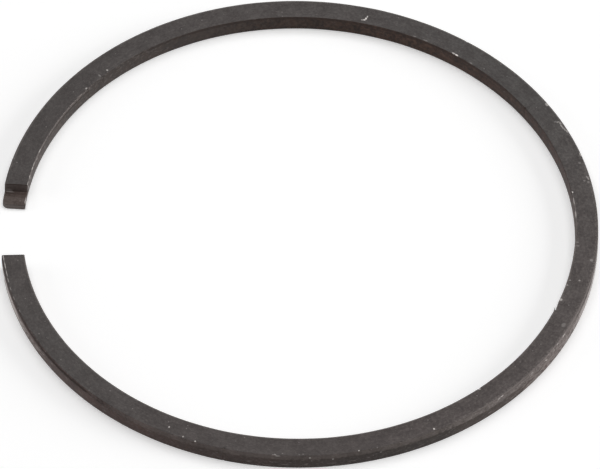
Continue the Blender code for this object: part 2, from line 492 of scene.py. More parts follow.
normal = ring_tree.nodes.new("GeometryNodeInputNormal").outputs["Normal"]
normal_up = split(ring_tree, normal)[2]
inputs = {0: normal, 1: read(ring_tree, "outwards", "FLOAT_VECTOR")}
facing = add_node(ring_tree, "ShaderNodeVectorMath", inputs, operation="DOT_PRODUCT")
facing = Term(ring_tree, facing.outputs["Value"])
above_band = split(ring_tree, here)[2].above(given["Band height"])
bar = add_node(ring_tree, "GeometryNodeRealizeInstances", {"Geometry": bar}).outputs["Geometry"]
for choice, name in (
    (True, "Inner wall"),
    (facing.above(0.0), "Running face"),
    (facing.above(0.0) * above_band, "Tapered face"),
    (normal_up.absolute().above(LEVEL_ENOUGH), "Side face"),
):
    inputs = {"Geometry": bar, "Selection": choice, "Material": given[name]}
    bar = add_node(ring_tree, "GeometryNodeSetMaterial", inputs).outputs["Geometry"]
result = ring_tree.nodes.new("NodeGroupOutput")
ring_tree.links.new(bar, result.inputs["Geometry"])
arrange(ring_tree)


# %% [markdown]
# The tree runs as a modifier. Its inputs are set by their identifiers, and the evaluated
# result is copied to a plain mesh, which from here on is worked as a blank on the bench.

# %% Run the tree
def set_input(modifier, name, value):
    """Sets an input of a tree's modifier, which knows it by its identifier."""
    for item in modifier.node_group.interface.items_tree:
        if item.name == name and item.in_out == "INPUT":
            modifier[item.identifier] = value


def plain_copy(obj, name):
    """Mesh of what the modifiers of an object make."""
    bpy.context.view_layer.update()
    evaluated = obj.evaluated_get(bpy.context.evaluated_depsgraph_get())
    mesh = bpy.data.meshes.new_from_object(evaluated)
    mesh.name = name
    return mesh


blank = bpy.data.objects.new("blank", bpy.data.meshes.new("blank"))
bpy.context.collection.objects.link(blank)
modifier = blank.modifiers.new("Free ring", "NODES")
modifier.node_group = ring_tree
for name, value in {**SIZES, **COUNTS}.items():
    set_input(modifier, name, value)
set_input(modifier, "Side face", lapped_side)
set_input(modifier, "Inner wall", turned_wall)
set_input(modifier, "Running face", running_face)
set_input(modifier, "Tapered face", tapered_face)
bar_mesh = plain_copy(blank, "bar")
blank.modifiers.clear()
blank.data = bar_mesh
spots = np.zeros(3 * len(bar_mesh.vertices))
bar_mesh.vertices.foreach_get("co", spots)
spots = spots.reshape(-1, 3)
print("bar:", len(bar_mesh.polygons), "faces")
print("box, mm: from", spots.min(0).round(3), "to", spots.max(0).round(3))
print("finishes:", [m.name for m in bar_mesh.materials])

# %% [markdown]
# Some damage has a place of its own: a long chip in the upper inner edge, with a sliver
# left standing beside it, a small nick, and a few dents in the outer edge. Each one moves
# the points of the edge's round, whose ends slide in the two faces that meet there. So the
# faces stay flat, and the round becomes a wider face between them that is a little hollow.

# %% Chips and dents
HOLLOW = 0.2
# degrees from the back where it starts, is deepest and stops; depth across and down
CHIPS = [
    (INNER_TOP, -20.4, -22.9, -23.2, 0.36, 1.05),
    (INNER_TOP, -49.8, -50.4, -50.9, 0.28, 0.3),
    (INNER_TOP, 10.9, 10.4, 10.0, 0.24, 0.26),
    (INNER_TOP, 36.8, 36.4, 36.0, 0.25, 0.25),
    (OUTER_TOP, -71.7, -71.2, -70.6, 0.22, 0.2),
    (OUTER_TOP, -79.0, -79.6, -80.1, 0.21, 0.2),
    (OUTER_TOP, -95.4, -96.1, -96.8, 0.26, 0.22),
    (OUTER_TOP, -105.2, -105.8, -106.3, 0.3, 0.26),
    (OUTER_TOP, -110.9, -111.5, -112.2, 0.24, 0.22),
    (OUTER_FOOT, -105.5, -105.9, -106.4, 0.1, 0.22),
    (OUTER_FOOT, -84.0, -84.5, -84.9, 0.08, 0.16),
    (INNER_TOP, 145.3, 144.7, 144.2, 0.28, 0.26),
    (INNER_TOP, 140.7, 140.0, 139.3, 0.26, 0.24),
    (OUTER_TOP, 58.3, 57.8, 57.2, 0.21, 0.2),
]


def read_points(mesh, name, width):
    """Values of a point attribute as an array."""
    data = mesh.attributes[name].data
    values = np.zeros(len(data) * width)
    data.foreach_get("vector" if width == 3 else "value", values)
    return values.reshape(-1, 3) if width == 3 else values


def bow(value):
    """0 at both ends of 0..1 and 1 at its middle."""
    return 4 * value * (1 - value)


angles = np.degrees(read_points(bar_mesh, "angle", 1))
which = np.rint(read_points(bar_mesh, "which", 1))
corner_shift = read_points(bar_mesh, "from_corner", 3)
outwards = read_points(bar_mesh, "outwards", 3)
spots = read_points(bar_mesh, "position", 3)
length_across = np.abs(corner_shift[:, 0])
length_up = np.abs(corner_shift[:, 1])
share = length_up / (length_across + length_up + 1e-9)
for edge_number, start, deepest, stop, depth, height in CHIPS:
    before = (angles - start) / (deepest - start)
    after = (angles - stop) / (deepest - stop)
    bite = np.clip(np.minimum(before, after), 0, 1)
    bite = np.where(which == edge_number, bite, 0)
    wanted_across = depth * (1 - share) * (1 + HOLLOW * bow(share))
    wanted_up = height * share * (1 + HOLLOW * bow(share))
    grow_across = np.maximum(wanted_across * bite - length_across, 0) * (bite > 0)
    grow_up = np.maximum(wanted_up * bite - length_up, 0) * (bite > 0)
    inwards = -1 if edge_number in (OUTER_TOP, OUTER_FOOT) else 1
    upwards = -1 if edge_number in (INNER_TOP, OUTER_TOP) else 1
    spots += outwards * (inwards * grow_across)[:, None]
    spots[:, 2] += upwards * grow_up
bar_mesh.vertices.foreach_set("co", spots.ravel())
bar_mesh.update()
print(len(CHIPS), "chips and dents; heights from", spots[:, 2].min(), "to", spots[:, 2].max())

# %% [markdown]
# The joint is milled after the ring is turned, so here it is cut after the sweep. Each cut
# is a Boolean with a prism: one clears the space past the tip of a tongue and rounds its
# outer corner in plan, one clears the space above or below the tongue and leaves the small
# round of the milling cutter at its root. The prisms wear the milled finish, and the
# Boolean hands that finish to the faces that they cut.

# %% Frames and prisms
LOWER_TONGUE_END, UPPER_TONGUE_END = 1, -1
RIM_POINTS = 3001        # on the outline near an end, about 0.004 mm apart
BACK_ALONG = 60          # points back along it, which give its direction
CORNER_STEPS = 12        # of a round in plan
ROOT_STEPS = 6           # of the cutter's round


def end_frame(side):
    """Frame at an end: X out across the section, Y on towards the gap, Z up."""
    skew = math.radians(END_SKEW)
    place, _ = middle_line(free_radius, side * end_angle)
    result = Matrix.Identity(4)
    result.col[0].xyz = (-math.cos(skew), side * math.sin(skew), 0)
    result.col[1].xyz = (-math.sin(skew), -side * math.cos(skew), 0)
    result.translation = (place[0], place[1], 0)
    return result


def prism(name, near, far):
    """Object between two outlines that have the same number of points."""
    bm = bmesh.new()
    ends = [[bm.verts.new(spot) for spot in outline] for outline in (near, far)]
    bm.faces.new(ends[0])
    bm.faces.new(reversed(ends[1]))
    for i in range(len(near)):
        j = (i + 1) % len(near)
        bm.faces.new((ends[0][i], ends[0][j], ends[1][j], ends[1][i]))
    bmesh.ops.recalc_face_normals(bm, faces=bm.faces)
    mesh = bpy.data.meshes.new(name)
    bm.to_mesh(mesh)
    bm.free()
    mesh.materials.append(milled_step)
    obj = bpy.data.objects.new(name, mesh)
    bpy.context.collection.objects.link(obj)
    return obj


def tip_prism(name, side, tip, corner):
    """What is cleared past the tip, with the ring's outer corner rounded in plan."""
    at_end = end_frame(side)
    to_end = at_end.inverted()
    angles_near = np.linspace(end_angle - 0.1, end_angle + 0.2, RIM_POINTS)
    middle, normal = middle_line(free_radius, side * angles_near)
    rim = middle + normal * WIDTH / 2
    rim = [(to_end @ Vector((x, y, 0))).xy for x, y in rim]
    last = max(i for i, spot in enumerate(rim) if spot.y < tip)
    spot = rim[last]
    back = (rim[last - BACK_ALONG] - spot).normalized()
    begin = spot + Vector((CORNER_OVERRUN, 0))
    outline = []
    for step in range(CORNER_STEPS + 1):
        swing = math.radians(90 * step / CORNER_STEPS)
        inward = Vector((-1, 0)) * (1 - math.sin(swing))
        outline.append(begin + corner * (inward + back * (1 - math.cos(swing))))
    past = tip + LAP + 2 * MARGIN
    outline.append(Vector((spot.x + MARGIN, outline[-1].y)))
    outline.append(Vector((spot.x + MARGIN, past)))
    outline.append(Vector((-WIDTH / 2 - MARGIN, past)))
    outline.append(Vector((-WIDTH / 2 - MARGIN, tip)))
    near = [at_end @ Vector((x, y, -MARGIN)) for x, y in outline]
    far = [at_end @ Vector((x, y, HEIGHT + MARGIN)) for x, y in outline]
    return prism(name, near, far)


def relief_prism(name, side, shoulder, level, limit):
    """What is cleared beside a tongue, with a round where it meets the shoulder."""
    at_end = end_frame(side)
    up = math.copysign(1, limit - level)
    outline = [Vector((shoulder, limit))]
    for step in range(ROOT_STEPS + 1):
        swing = math.radians(90 * step / ROOT_STEPS)
        along = shoulder + ROOT_RADIUS * (1 - math.cos(swing))
        outline.append(Vector((along, level + up * ROOT_RADIUS * (1 - math.sin(swing)))))
    past = shoulder + 2 * LAP + MARGIN
    outline.append(Vector((past, level)))
    outline.append(Vector((past, limit)))
    across = WIDTH / 2 + MARGIN
    near = [at_end @ Vector((-across, y, z)) for y, z in outline]
    far = [at_end @ Vector((across, y, z)) for y, z in outline]
    return prism(name, near, far)


def in_ring(degrees, out, up):
    """Point at an angle from the back, out from the middle line and up from the foot."""
    place, normal = middle_line(free_radius, math.radians(degrees))
    return Vector((*(place + normal * out), up))


lower, upper = LOWER_TONGUE_END, UPPER_TONGUE_END
upper_root = -LAP - CLOSED_GAP
upper_level = LOWER_TONGUE + LAP_CLEARANCE
cutters = [
    tip_prism("lower_tongue_tip", lower, LAP, TONGUE_CORNER),
    relief_prism("lower_tongue_relief", lower, 0, LOWER_TONGUE, HEIGHT + MARGIN),
    tip_prism("upper_tongue_tip", upper, 0, TIP_CORNER),
    relief_prism("upper_tongue_relief", upper, upper_root, upper_level, -MARGIN),
]
print("cutters:", [obj.name for obj in cutters])

# %% [markdown]
# The sliver beside the chip is a thin curl of iron that was pushed up from the edge and
# never broke off. It starts inside the ring, so a union welds it on without a seam.

# %% Mill the joint and weld the sliver
# its root, neck and tip: degrees from the back, out from the middle line, and height
root = [(-23.75, -1.5, 2.12), (-23.75, -1.3, 2.12), (-23.75, -1.3, 2.4), (-23.75, -1.5, 2.4)]
neck = [(-23.2, -1.65, 2.2), (-23.2, -1.52, 2.2), (-23.2, -1.5, 2.5), (-23.2, -1.63, 2.52)]
tip = [(-22.3, -1.69, 2.44), (-22.3, -1.67, 2.44), (-22.3, -1.67, 2.5), (-22.3, -1.69, 2.5)]
sliver_points = [in_ring(*spot) for loop in (root, neck, tip) for spot in loop]
sliver_faces = [(3, 2, 1, 0), (8, 9, 10, 11)]
for start in (0, 4):
    for i in range(4):
        j = (i + 1) % 4
        sliver_faces.append((start + i, start + j, start + 4 + j, start + 4 + i))
sliver_mesh = bpy.data.meshes.new("sliver")
sliver_mesh.from_pydata(sliver_points, [], sliver_faces)
sliver_mesh.materials.append(broken_edge)
bm = bmesh.new()
bm.from_mesh(sliver_mesh)
bmesh.ops.recalc_face_normals(bm, faces=bm.faces)
bm.to_mesh(sliver_mesh)
bm.free()
sliver = bpy.data.objects.new("sliver", sliver_mesh)
bpy.context.collection.objects.link(sliver)

for operation, tool in [("UNION", sliver)] + [("DIFFERENCE", cutter) for cutter in cutters]:
    boolean = blank.modifiers.new(tool.name, "BOOLEAN")
    boolean.operation = operation
    boolean.solver = "EXACT"
    boolean.material_mode = "TRANSFER"
    boolean.object = tool
ring_mesh = plain_copy(blank, "ring")
for tool in [sliver, *cutters, blank]:
    bpy.data.objects.remove(tool)
print("milled ring:", len(ring_mesh.polygons), "faces")

# %% [markdown]
# A milled edge is razor sharp, so a fitter breaks it with a stone, by a few hundredths of a
# millimetre. The edges to break are found by finish: they lie between a milled face and
# another face, or between two milled faces, and they turn by more than 35 degrees. The
# bevel's own faces get the bright finish of a broken edge.

# %% Break the milled edges
STONE_BREAK = 0.04
SHARP_TURN = 35          # degrees
WELD_DISTANCE = 0.0005
SHORTEST_EDGE = 0.0003

names = [material.name for material in ring_mesh.materials]
milled_index = names.index("milled_step")
bm = bmesh.new()
bm.from_mesh(ring_mesh)
sharp = []
for edge in bm.edges:
    beside_milled = any(face.material_index == milled_index for face in edge.link_faces)
    if beside_milled and edge.calc_face_angle_signed(0.0) > math.radians(SHARP_TURN):
        sharp.append(edge)
done = bmesh.ops.bevel(bm, geom=sharp, offset=STONE_BREAK, offset_type="OFFSET", segments=2,
                       profile=0.5, affect="EDGES", clamp_overlap=False,
                       material=names.index("broken_edge"))
bmesh.ops.remove_doubles(bm, verts=bm.verts, dist=WELD_DISTANCE)
bmesh.ops.dissolve_degenerate(bm, edges=bm.edges, dist=SHORTEST_EDGE)
for vert in bm.verts:
    vert.co.z = max(vert.co.z, 0.0)
open_edges = sum(1 for edge in bm.edges if not edge.is_manifold)
print(len(sharp), "milled edges broken into", len(done["faces"]), "faces; open edges:", open_edges)
bm.to_mesh(ring_mesh)
bm.free()

# %% [markdown]
# Every finish on a ring follows the ring: tool lines run round it and wear lies along its
# edges. So each point also stores its place on the unrolled ring, in millimetres: how far
# round, how far out from the middle line, and how high. Materials read this attribute where
# a pattern follows the surface. It is found by stepping round the ring until the point lies
# straight out from the middle line.

# %% Unroll the ring
UNROLL_STEPS = 8


def unroll(points):
    """Place round, out and up, in millimetres, of points in the ring's own frame."""
    phi = np.arctan2(points[:, 1], points[:, 0])
    for _ in range(UNROLL_STEPS):
        middle, normal = middle_line(free_radius, phi)
        gap = points[:, :2] - middle
        along = gap[:, 1] * normal[:, 0] - gap[:, 0] * normal[:, 1]
        phi = phi + along / free_radius
    middle, normal = middle_line(free_radius, phi)
    out = ((points[:, :2] - middle) * normal).sum(1)
    return np.stack([phi * free_radius, out, points[:, 2]], -1)


spots = read_points(ring_mesh, "position", 3)
unrolled = unroll(spots)
for name in ("angle", "which", "corner", "from_corner", "outwards"):
    ring_mesh.attributes.remove(ring_mesh.attributes[name])
layer = ring_mesh.attributes.new("unrolled", "FLOAT_VECTOR", "POINT")
layer.data.foreach_set("vector", unrolled.ravel())
print("unrolled, mm: from", unrolled.min(0).round(2), "to", unrolled.max(0).round(2))

# %% [markdown]
# The mesh goes to metres and to its place in the frame. The frame is centred on the box of
# the ring, and the ring's own centre lies a little to the right of that, because the gap
# end reaches further out than the back. Smooth shading would bend the light on the wide
# flat faces beside the small rounds, so the normals are weighted by the area of the faces.

# %% Bring the ring to its place
SMOOTH_UP_TO = 50        # degrees

ring_mesh.transform(Matrix.Translation((ring_centre.x, ring_centre.y, 0)) @ Matrix.Scale(MM, 4))
ring_mesh.shade_smooth()
ring_mesh.set_sharp_from_angle(angle=math.radians(SMOOTH_UP_TO))
ring = bpy.data.objects.new("compression_ring", ring_mesh)
bpy.context.collection.objects.link(ring)
weighted = ring.modifiers.new("Weighted normals", "WEIGHTED_NORMAL")
weighted.mode = "FACE_AREA"
weighted.weight = 100
weighted.keep_sharp = True
finished_mesh = plain_copy(ring, "compression_ring")
ring.modifiers.clear()
ring.data = finished_mesh
triangles = sum(len(face.vertices) - 2 for face in finished_mesh.polygons)
print("ring:", triangles, "triangles")
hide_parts("piston_ring")
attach(ring, "root")

# %% [markdown]
# Phosphating grows a felt of fine dark crystals on the iron, which holds oil. Close up it
# is a fine grain. From further off the coat is speckled and cloudy, because it took better
# in some places, and where it is thin it looks brown. All of this comes from one group, so
# every finish of the ring is coated the same way and only sizes and colours differ.

# %% Group: phosphate coat
FLOAT = "NodeSocketFloat"
COLOUR = "NodeSocketColor"
VECTOR = "NodeSocketVector"


def new_group(name, inputs, outputs):
    """Shader node group with named sockets, and its input and output nodes."""
    tree = bpy.data.node_groups.new(name, "ShaderNodeTree")
    for socket_name, value in inputs.items():
        if isinstance(value, float):
            kind = FLOAT
        elif len(value) == 4:
            kind = COLOUR
        else:
            kind = VECTOR
        socket = tree.interface.new_socket(socket_name, in_out="INPUT", socket_type=kind)
        socket.default_value = value
    for socket_name, kind in outputs.items():
        tree.interface.new_socket(socket_name, in_out="OUTPUT", socket_type=kind)
    return tree, tree.nodes.new("NodeGroupInput").outputs, tree.nodes.new("NodeGroupOutput")


def stretched(tree, place, x, y, z):
    """A place with each direction divided by a size."""
    terms = [part / extent for part, extent in zip(split(tree, place), (x, y, z))]
    return vector(tree, *terms)


def combine(tree, operation, first, second):
    """Vector from two others, such as their difference or their larger parts."""
    node = add_node(tree, "ShaderNodeVectorMath", {0: first, 1: second}, operation=operation)
    return node.outputs["Vector"]


def length_of(tree, given_vector):
    """Length of a vector."""
    node = add_node(tree, "ShaderNodeVectorMath", {0: given_vector}, operation="LENGTH")
    return Term(tree, node.outputs["Value"])


def blend(tree, share, first, second):
    """Colour between two colours; a Mix node keeps its colours in sockets 6 and 7."""
    node = add_node(tree, "ShaderNodeMix", data_type="RGBA")
    feed(tree, node.inputs[0], share)
    feed(tree, node.inputs[6], first)
    feed(tree, node.inputs[7], second)
    return node.outputs[2]


coat_tree, coat_in, coat_out = new_group(
    "Phosphate coat",
    {
        "Place": (0.0, 0.0, 0.0),
        "Crystal size": 0.09,
        "Speck size": 0.32,
        "Cloud size": 2.2,
        "Dark": (0.02, 0.018, 0.017, 1.0),
        "Light": (0.05, 0.046, 0.044, 1.0),
    },
    {"Color": COLOUR, "Grain": FLOAT},
)
layers = []
for name, detail in (("Crystal size", 2.0), ("Speck size", 2.0), ("Cloud size", 3.0)):
    across = Term(coat_tree, coat_in[name])
    even = stretched(coat_tree, coat_in["Place"], across, across, across)
    layers.append(noise(coat_tree, even, detail, roughness=0.6))
crystals, specks, clouds = layers
mottle = clouds.ramp(0.34, 0.66) * 0.5 + specks.ramp(0.34, 0.66) * 0.5
coat_colour = blend(coat_tree, mottle, coat_in["Dark"], coat_in["Light"])
feed(coat_tree, coat_out.inputs["Color"], coat_colour)
feed(coat_tree, coat_out.inputs["Grain"], crystals * 0.6 + specks * 0.4)
arrange(coat_tree)

# %% [markdown]
# Turning, lapping and milling all leave lines. On the unrolled ring a line round the ring
# is a straight line, so noise that is stretched along one direction makes tool lines: long
# in the direction in which the tool ran, and a few hundredths of a millimetre across it.

# %% Group: tool lines
lines_tree, lines_in, lines_out = new_group(
    "Tool lines",
    {"Place": (0.0, 0.0, 0.0), "Run": 9.0, "Pitch": 0.07, "Rise": 0.07},
    {"Lines": FLOAT},
)
run = Term(lines_tree, lines_in["Run"])
pitch = Term(lines_tree, lines_in["Pitch"])
rise = Term(lines_tree, lines_in["Rise"])
drawn_out = stretched(lines_tree, lines_in["Place"], run, pitch, rise)
lines = noise(lines_tree, drawn_out, detail=3.0, roughness=0.7)
feed(lines_tree, lines_out.inputs["Lines"], lines)
arrange(lines_tree)

# %% [markdown]
# Handling rubs the coat off the edges first. On the unrolled ring the distance from the
# nearest long edge is simple: it is the larger of the distance from a side wall and the
# distance from a side face. Noise moves the limit of the wear in and out.

# %% Group: rubbed edges
rub_tree, rub_in, rub_out = new_group(
    "Rubbed edges",
    {"Place": (0.0, 0.0, 0.0), "Reach": 0.16, "Patch size": 1.1, "Strength": 0.3},
    {"Rubbed": FLOAT},
)
_, out, up = split(rub_tree, rub_in["Place"])
from_wall = (WIDTH / 2 - out.absolute()).absolute()
from_face = up.smaller(HEIGHT - up).absolute()
patch_size = Term(rub_tree, rub_in["Patch size"])
uneven = stretched(rub_tree, rub_in["Place"], patch_size, patch_size * 0.4, patch_size * 0.4)
uneven = noise(rub_tree, uneven, detail=4.0, roughness=0.6)
limit = Term(rub_tree, rub_in["Reach"]) * uneven.ramp(0.4, 0.75, 0.05, 1.6)
nearness = 1.0 - (from_wall.larger(from_face) / limit)
rubbed = nearness.ramp(0.0, 0.7) * Term(rub_tree, rub_in["Strength"])
feed(rub_tree, rub_out.inputs["Rubbed"], rubbed)
arrange(rub_tree)

# %% [markdown]
# Other wear has a place of its own, such as the stretch of the running face that touched
# its neighbour in the box. This group rubs the coat through inside a block of the unrolled
# ring, and the same block also places patches of painted light and painted reflection, and
# dark lines, some of which are painted shade. Towards the block's sides the cover grows
# thin, so the patch breaks up into specks instead of stopping at a line. A long run turns
# the specks into streaks.

# %% Group: patch of wear, painted light and shade
patch_tree, patch_in, patch_out = new_group(
    "Patch of wear, light and shade",
    {
        "Place": (0.0, 0.0, 0.0),
        "Lowest": (-10.0, -1.6, 0.0),
        "Highest": (10.0, 1.6, 2.5),
        "Fade": (6.0, 0.15, 0.15),
        "Speck size": 0.28,
        "Run": 1.0,
        "Cover": 0.5,
        "Softness": 0.05,
        "Strength": 0.8,
    },
    {"Patch amount": FLOAT},
)
short_of = combine(patch_tree, "SUBTRACT", patch_in["Lowest"], patch_in["Place"])
past = combine(patch_tree, "SUBTRACT", patch_in["Place"], patch_in["Highest"])
outside = combine(patch_tree, "MAXIMUM", short_of, past)
outside = combine(patch_tree, "MAXIMUM", outside, (0, 0, 0))
outside = combine(patch_tree, "DIVIDE", outside, patch_in["Fade"])
inside = length_of(patch_tree, outside).ramp(0.0, 1.0, 1.0, 0.0)
speck = Term(patch_tree, patch_in["Speck size"])
spread = stretched(patch_tree, patch_in["Place"], speck * patch_in["Run"], speck, speck)
specks = noise(patch_tree, spread, detail=2.0, roughness=0.6)
limit = 0.72 - inside * patch_in["Cover"] * 0.4
worn_and_lit = ((specks - limit) / patch_in["Softness"]).ramp(-1.0, 1.0)
worn_and_lit = worn_and_lit * patch_in["Strength"]
feed(patch_tree, patch_out.inputs["Patch amount"], worn_and_lit)
arrange(patch_tree)

# %% [markdown]
# Single marks, such as a bright nick, are small ellipses in the unrolled ring, with an edge
# that a fine noise makes uneven. Some of them are painted highlights, where an edge catches
# the light.

# %% Group: single mark
mark_tree, mark_in, mark_out = new_group(
    "Single mark",
    {
        "Place": (0.0, 0.0, 0.0),
        "Centre": (0.0, 0.0, 2.5),
        "Half size": (0.2, 0.2, 0.5),
        "Strength": 1.0,
    },
    {"Mark": FLOAT},
)
offset = combine(mark_tree, "SUBTRACT", mark_in["Place"], mark_in["Centre"])
offset = combine(mark_tree, "DIVIDE", offset, mark_in["Half size"])
ragged = stretched(mark_tree, mark_in["Place"], 0.1, 0.1, 0.1)
ragged = noise(mark_tree, ragged, detail=1.0)
distance_out = length_of(mark_tree, offset) + (ragged - 0.5) * 0.8
mark = distance_out.ramp(0.5, 1.0, 1.0, 0.0) * Term(mark_tree, mark_in["Strength"])
feed(mark_tree, mark_out.inputs["Mark"], mark)
arrange(mark_tree)

# %% [markdown]
# Flecks and scratches. Flecks are cells of a Voronoi pattern whose random colour is high
# and whose middle is near: a few bright pinpoints where a crystal broke off. Scratches are
# thin lines at the zero crossings of a stretched, bent noise, thinned out by a second one.

# %% Group: flecks and scratches
marks_tree, marks_in, marks_out = new_group(
    "Flecks and scratches",
    {"Place": (0.0, 0.0, 0.0), "Fleck size": 0.55, "Scarcity": 0.86, "Scratch length": 2.2},
    {"Flecks": FLOAT, "Scratches": FLOAT},
)
spacing = Term(marks_tree, marks_in["Fleck size"])
even = stretched(marks_tree, marks_in["Place"], spacing, spacing, spacing)
cells = add_node(marks_tree, "ShaderNodeTexVoronoi", {"Vector": even, "Scale": 1.0})
near_middle = Term(marks_tree, cells.outputs["Distance"]).ramp(0.1, 0.22, 1.0, 0.0)
chosen = add_node(marks_tree, "ShaderNodeSeparateColor", {0: cells.outputs["Color"]})
chosen = Term(marks_tree, chosen.outputs[0]).above(marks_in["Scarcity"])
feed(marks_tree, marks_out.inputs["Flecks"], near_middle * chosen)
long = Term(marks_tree, marks_in["Scratch length"])
bent = stretched(marks_tree, marks_in["Place"], long, long * 0.22, long * 0.22)
bent = noise(marks_tree, bent, detail=1.0, distortion=0.8)
thin = (bent - 0.5).absolute().ramp(0.0, 0.006, 1.0, 0.0)
sparse = stretched(marks_tree, marks_in["Place"], 1.7, 1.1, 1.1)
sparse = noise(marks_tree, sparse, detail=1.0)
feed(marks_tree, marks_out.inputs["Scratches"], thin * sparse.ramp(0.58, 0.66))
arrange(marks_tree)

# %% [markdown]
# One function lays these effects on a material. Where the coat is whole the surface is a
# dull dark crystal felt; where it is rubbed through, bare iron shows, which is metal, a
# little brown and smoother; a fresh nick is brighter still. The same colours of bare and
# fresh iron also paint some light: patches of painted light and painted reflection, and
# painted highlights along a few edges. Some of the dark lines are painted shade. The share
# that is rubbed or painted drives colour, metal and roughness together, and the same
# patterns give the bump its height. The colour is also made lighter or darker and a little
# warmer or greyer slowly round the ring: this is painted light and shade, which makes each
# stretch of a face as light or dark as the light that falls on it there. A colour ramp
# can't go above 1, so the painted light and shade is halved there, and the tone of the tool
# lines makes up for it.

# %% Build a finish
# colour of the dark lines; those on the shoulder top and on the taper beside the gap are painted
# shade
DARK_LINE_COLOUR = (0.014, 0.006, 0.003, 1.0)
# bare iron where the coat is rubbed through; the same colour also paints light and reflection in
# some patches
BARE_IRON_AND_SHEEN = (0.2, 0.176, 0.167, 1.0)
# a fresh nick; the same colour also paints highlights along some edges
FRESH_IRON_AND_GLINT = (0.5, 0.47, 0.45, 1.0)
SHINE_TINT = (1.0, 0.94, 0.92, 1.0)
# the tool lines scale the colour by two on average, which makes up for the halved painted light
# and shade
GROOVE_TONE, RIDGE_TONE = 1.6, 2.4
SCRATCH_WEAR = 0.35
FLECK_SHINE = 0.25
METAL = 0.9              # of iron that shows through
BUMP_HEIGHT = 0.00002    # metres


def round_mm(degrees):
    """Length round the ring from its back, at the middle line."""
    return math.radians(degrees) * free_radius


def painted_light_round(tree, place, stops):
    """Painted light and shade round the ring; a stop has degrees, brightness and warmth."""
    share = split(tree, place)[0] / (2 * math.pi * free_radius) + 0.5
    node = add_node(tree, "ShaderNodeValToRGB", {"Fac": share})
    ramp = node.color_ramp
    ramp.interpolation = "EASE"
    while len(ramp.elements) < len(stops):
        ramp.elements.new(0.5)
    for element, (degrees, bright, warmth) in zip(ramp.elements, sorted(stops)):
        element.position = degrees / 360 + 0.5
        element.color = (bright * warmth / 2, bright / 2, bright / 2, 1)
    return node.outputs["Color"]


def finish(material, coat, lines, rubbed, flecks, roughness, gloss, light_and_shade,
           worn_and_lit=(), darkened=(), marks=()):
    """Nodes of one finish: its patches of wear and painted light, its dark lines, some of them
    painted shade, its single marks, some of them painted highlights, and its painted light and
    shade round the ring.
    """
    tree = material.node_tree
    shader = add_node(tree, "ShaderNodeBsdfPrincipled", {"Specular IOR Level": gloss})
    shader.inputs["Specular Tint"].default_value = SHINE_TINT
    add_node(tree, "ShaderNodeOutputMaterial", {"Surface": shader.outputs["BSDF"]})
    place = add_node(tree, "ShaderNodeAttribute", attribute_name="unrolled").outputs["Vector"]

    def use(group, values):
        """Places a group and feeds it the place on the ring and its own values."""
        node = add_node(tree, "ShaderNodeGroup", node_tree=group)
        for name, value in {"Place": place, **values}.items():
            feed(tree, node.inputs[name], value)
        return node.outputs

    coated = use(coat_tree, coat)
    drawn = Term(tree, use(lines_tree, lines)["Lines"])
    wear_and_painted_light = Term(tree, use(rub_tree, rubbed)["Rubbed"])
    for patch in worn_and_lit:
        wear_and_painted_light = wear_and_painted_light.larger(Term(tree, use(patch_tree, patch)["Patch amount"]))
    small = use(marks_tree, flecks)
    scratch = Term(tree, small["Scratches"])
    wear_and_painted_light = wear_and_painted_light.larger(scratch * SCRATCH_WEAR)
    # dark lines, some of them painted shade
    darkening = wear_and_painted_light * 0.0  # none yet
    for patch in darkened:
        darkening = darkening.larger(Term(tree, use(patch_tree, patch)["Patch amount"]))
    wear_and_painted_light = wear_and_painted_light * (1.0 - darkening)
    fresh_and_glints = Term(tree, small["Flecks"]) * FLECK_SHINE
    for degrees, out, up, half_round, half_out, strength in marks:
        values = {
            "Centre": (round_mm(degrees), out, up),
            "Half size": (half_round, half_out, half_out),
            "Strength": strength,
        }
        fresh_and_glints = fresh_and_glints.larger(Term(tree, use(mark_tree, values)["Mark"]))

    # the coat colour times the painted light and shade round the ring
    coat_with_painted_light = combine(tree, "MULTIPLY", coated["Color"], painted_light_round(tree, place, light_and_shade))
    inputs = {0: coat_with_painted_light, "Scale": drawn.ramp(0.25, 0.75, GROOVE_TONE, RIDGE_TONE)}
    coat_lines_and_painted_light = add_node(tree, "ShaderNodeVectorMath", inputs, operation="SCALE").outputs["Vector"]
    coat_lines_and_painted_light = blend(tree, darkening, coat_lines_and_painted_light, DARK_LINE_COLOUR)
    colour = blend(tree, wear_and_painted_light, coat_lines_and_painted_light, BARE_IRON_AND_SHEEN)
    feed(tree, shader.inputs["Base Color"], blend(tree, fresh_and_glints, colour, FRESH_IRON_AND_GLINT))
    bright = wear_and_painted_light.larger(fresh_and_glints)
    feed(tree, shader.inputs["Metallic"], bright * METAL)
    grain = Term(tree, coated["Grain"])
    matt, smooth = roughness
    rough = matt + (grain - 0.5) * 0.25 - bright * (matt - smooth)
    feed(tree, shader.inputs["Roughness"], rough)
    height = grain * 0.5 + drawn * 0.8 - scratch * 0.5 - wear_and_painted_light * 0.3
    inputs = {"Height": height, "Strength": 0.35, "Distance": BUMP_HEIGHT}
    bump = add_node(tree, "ShaderNodeBump", inputs)
    feed(tree, shader.inputs["Normal"], bump.outputs["Normal"])
    arrange(tree, material.name)

# %% [markdown]
# The side face. It was lapped flat before it was coated, so its lines are short and run in
# no one direction. The right of this ring has been handled more: the coat is speckled there
# right across, and a band along the outer edge is rubbed. A hooked scratch, made by the tip
# of a tool, lies at the far side, with a few nicks and pinpoints, and beside the gap a line
# of painted highlight runs along the outer edge. Their places are given one by one: degrees
# from the back, millimetres out from the middle line, half its size round and across, and
# its strength.

# %% Finish of the side faces
WHOLE_WIDTH = (-2.0, 2.0)
UPPER_SIDE = (2.0, 3.0)


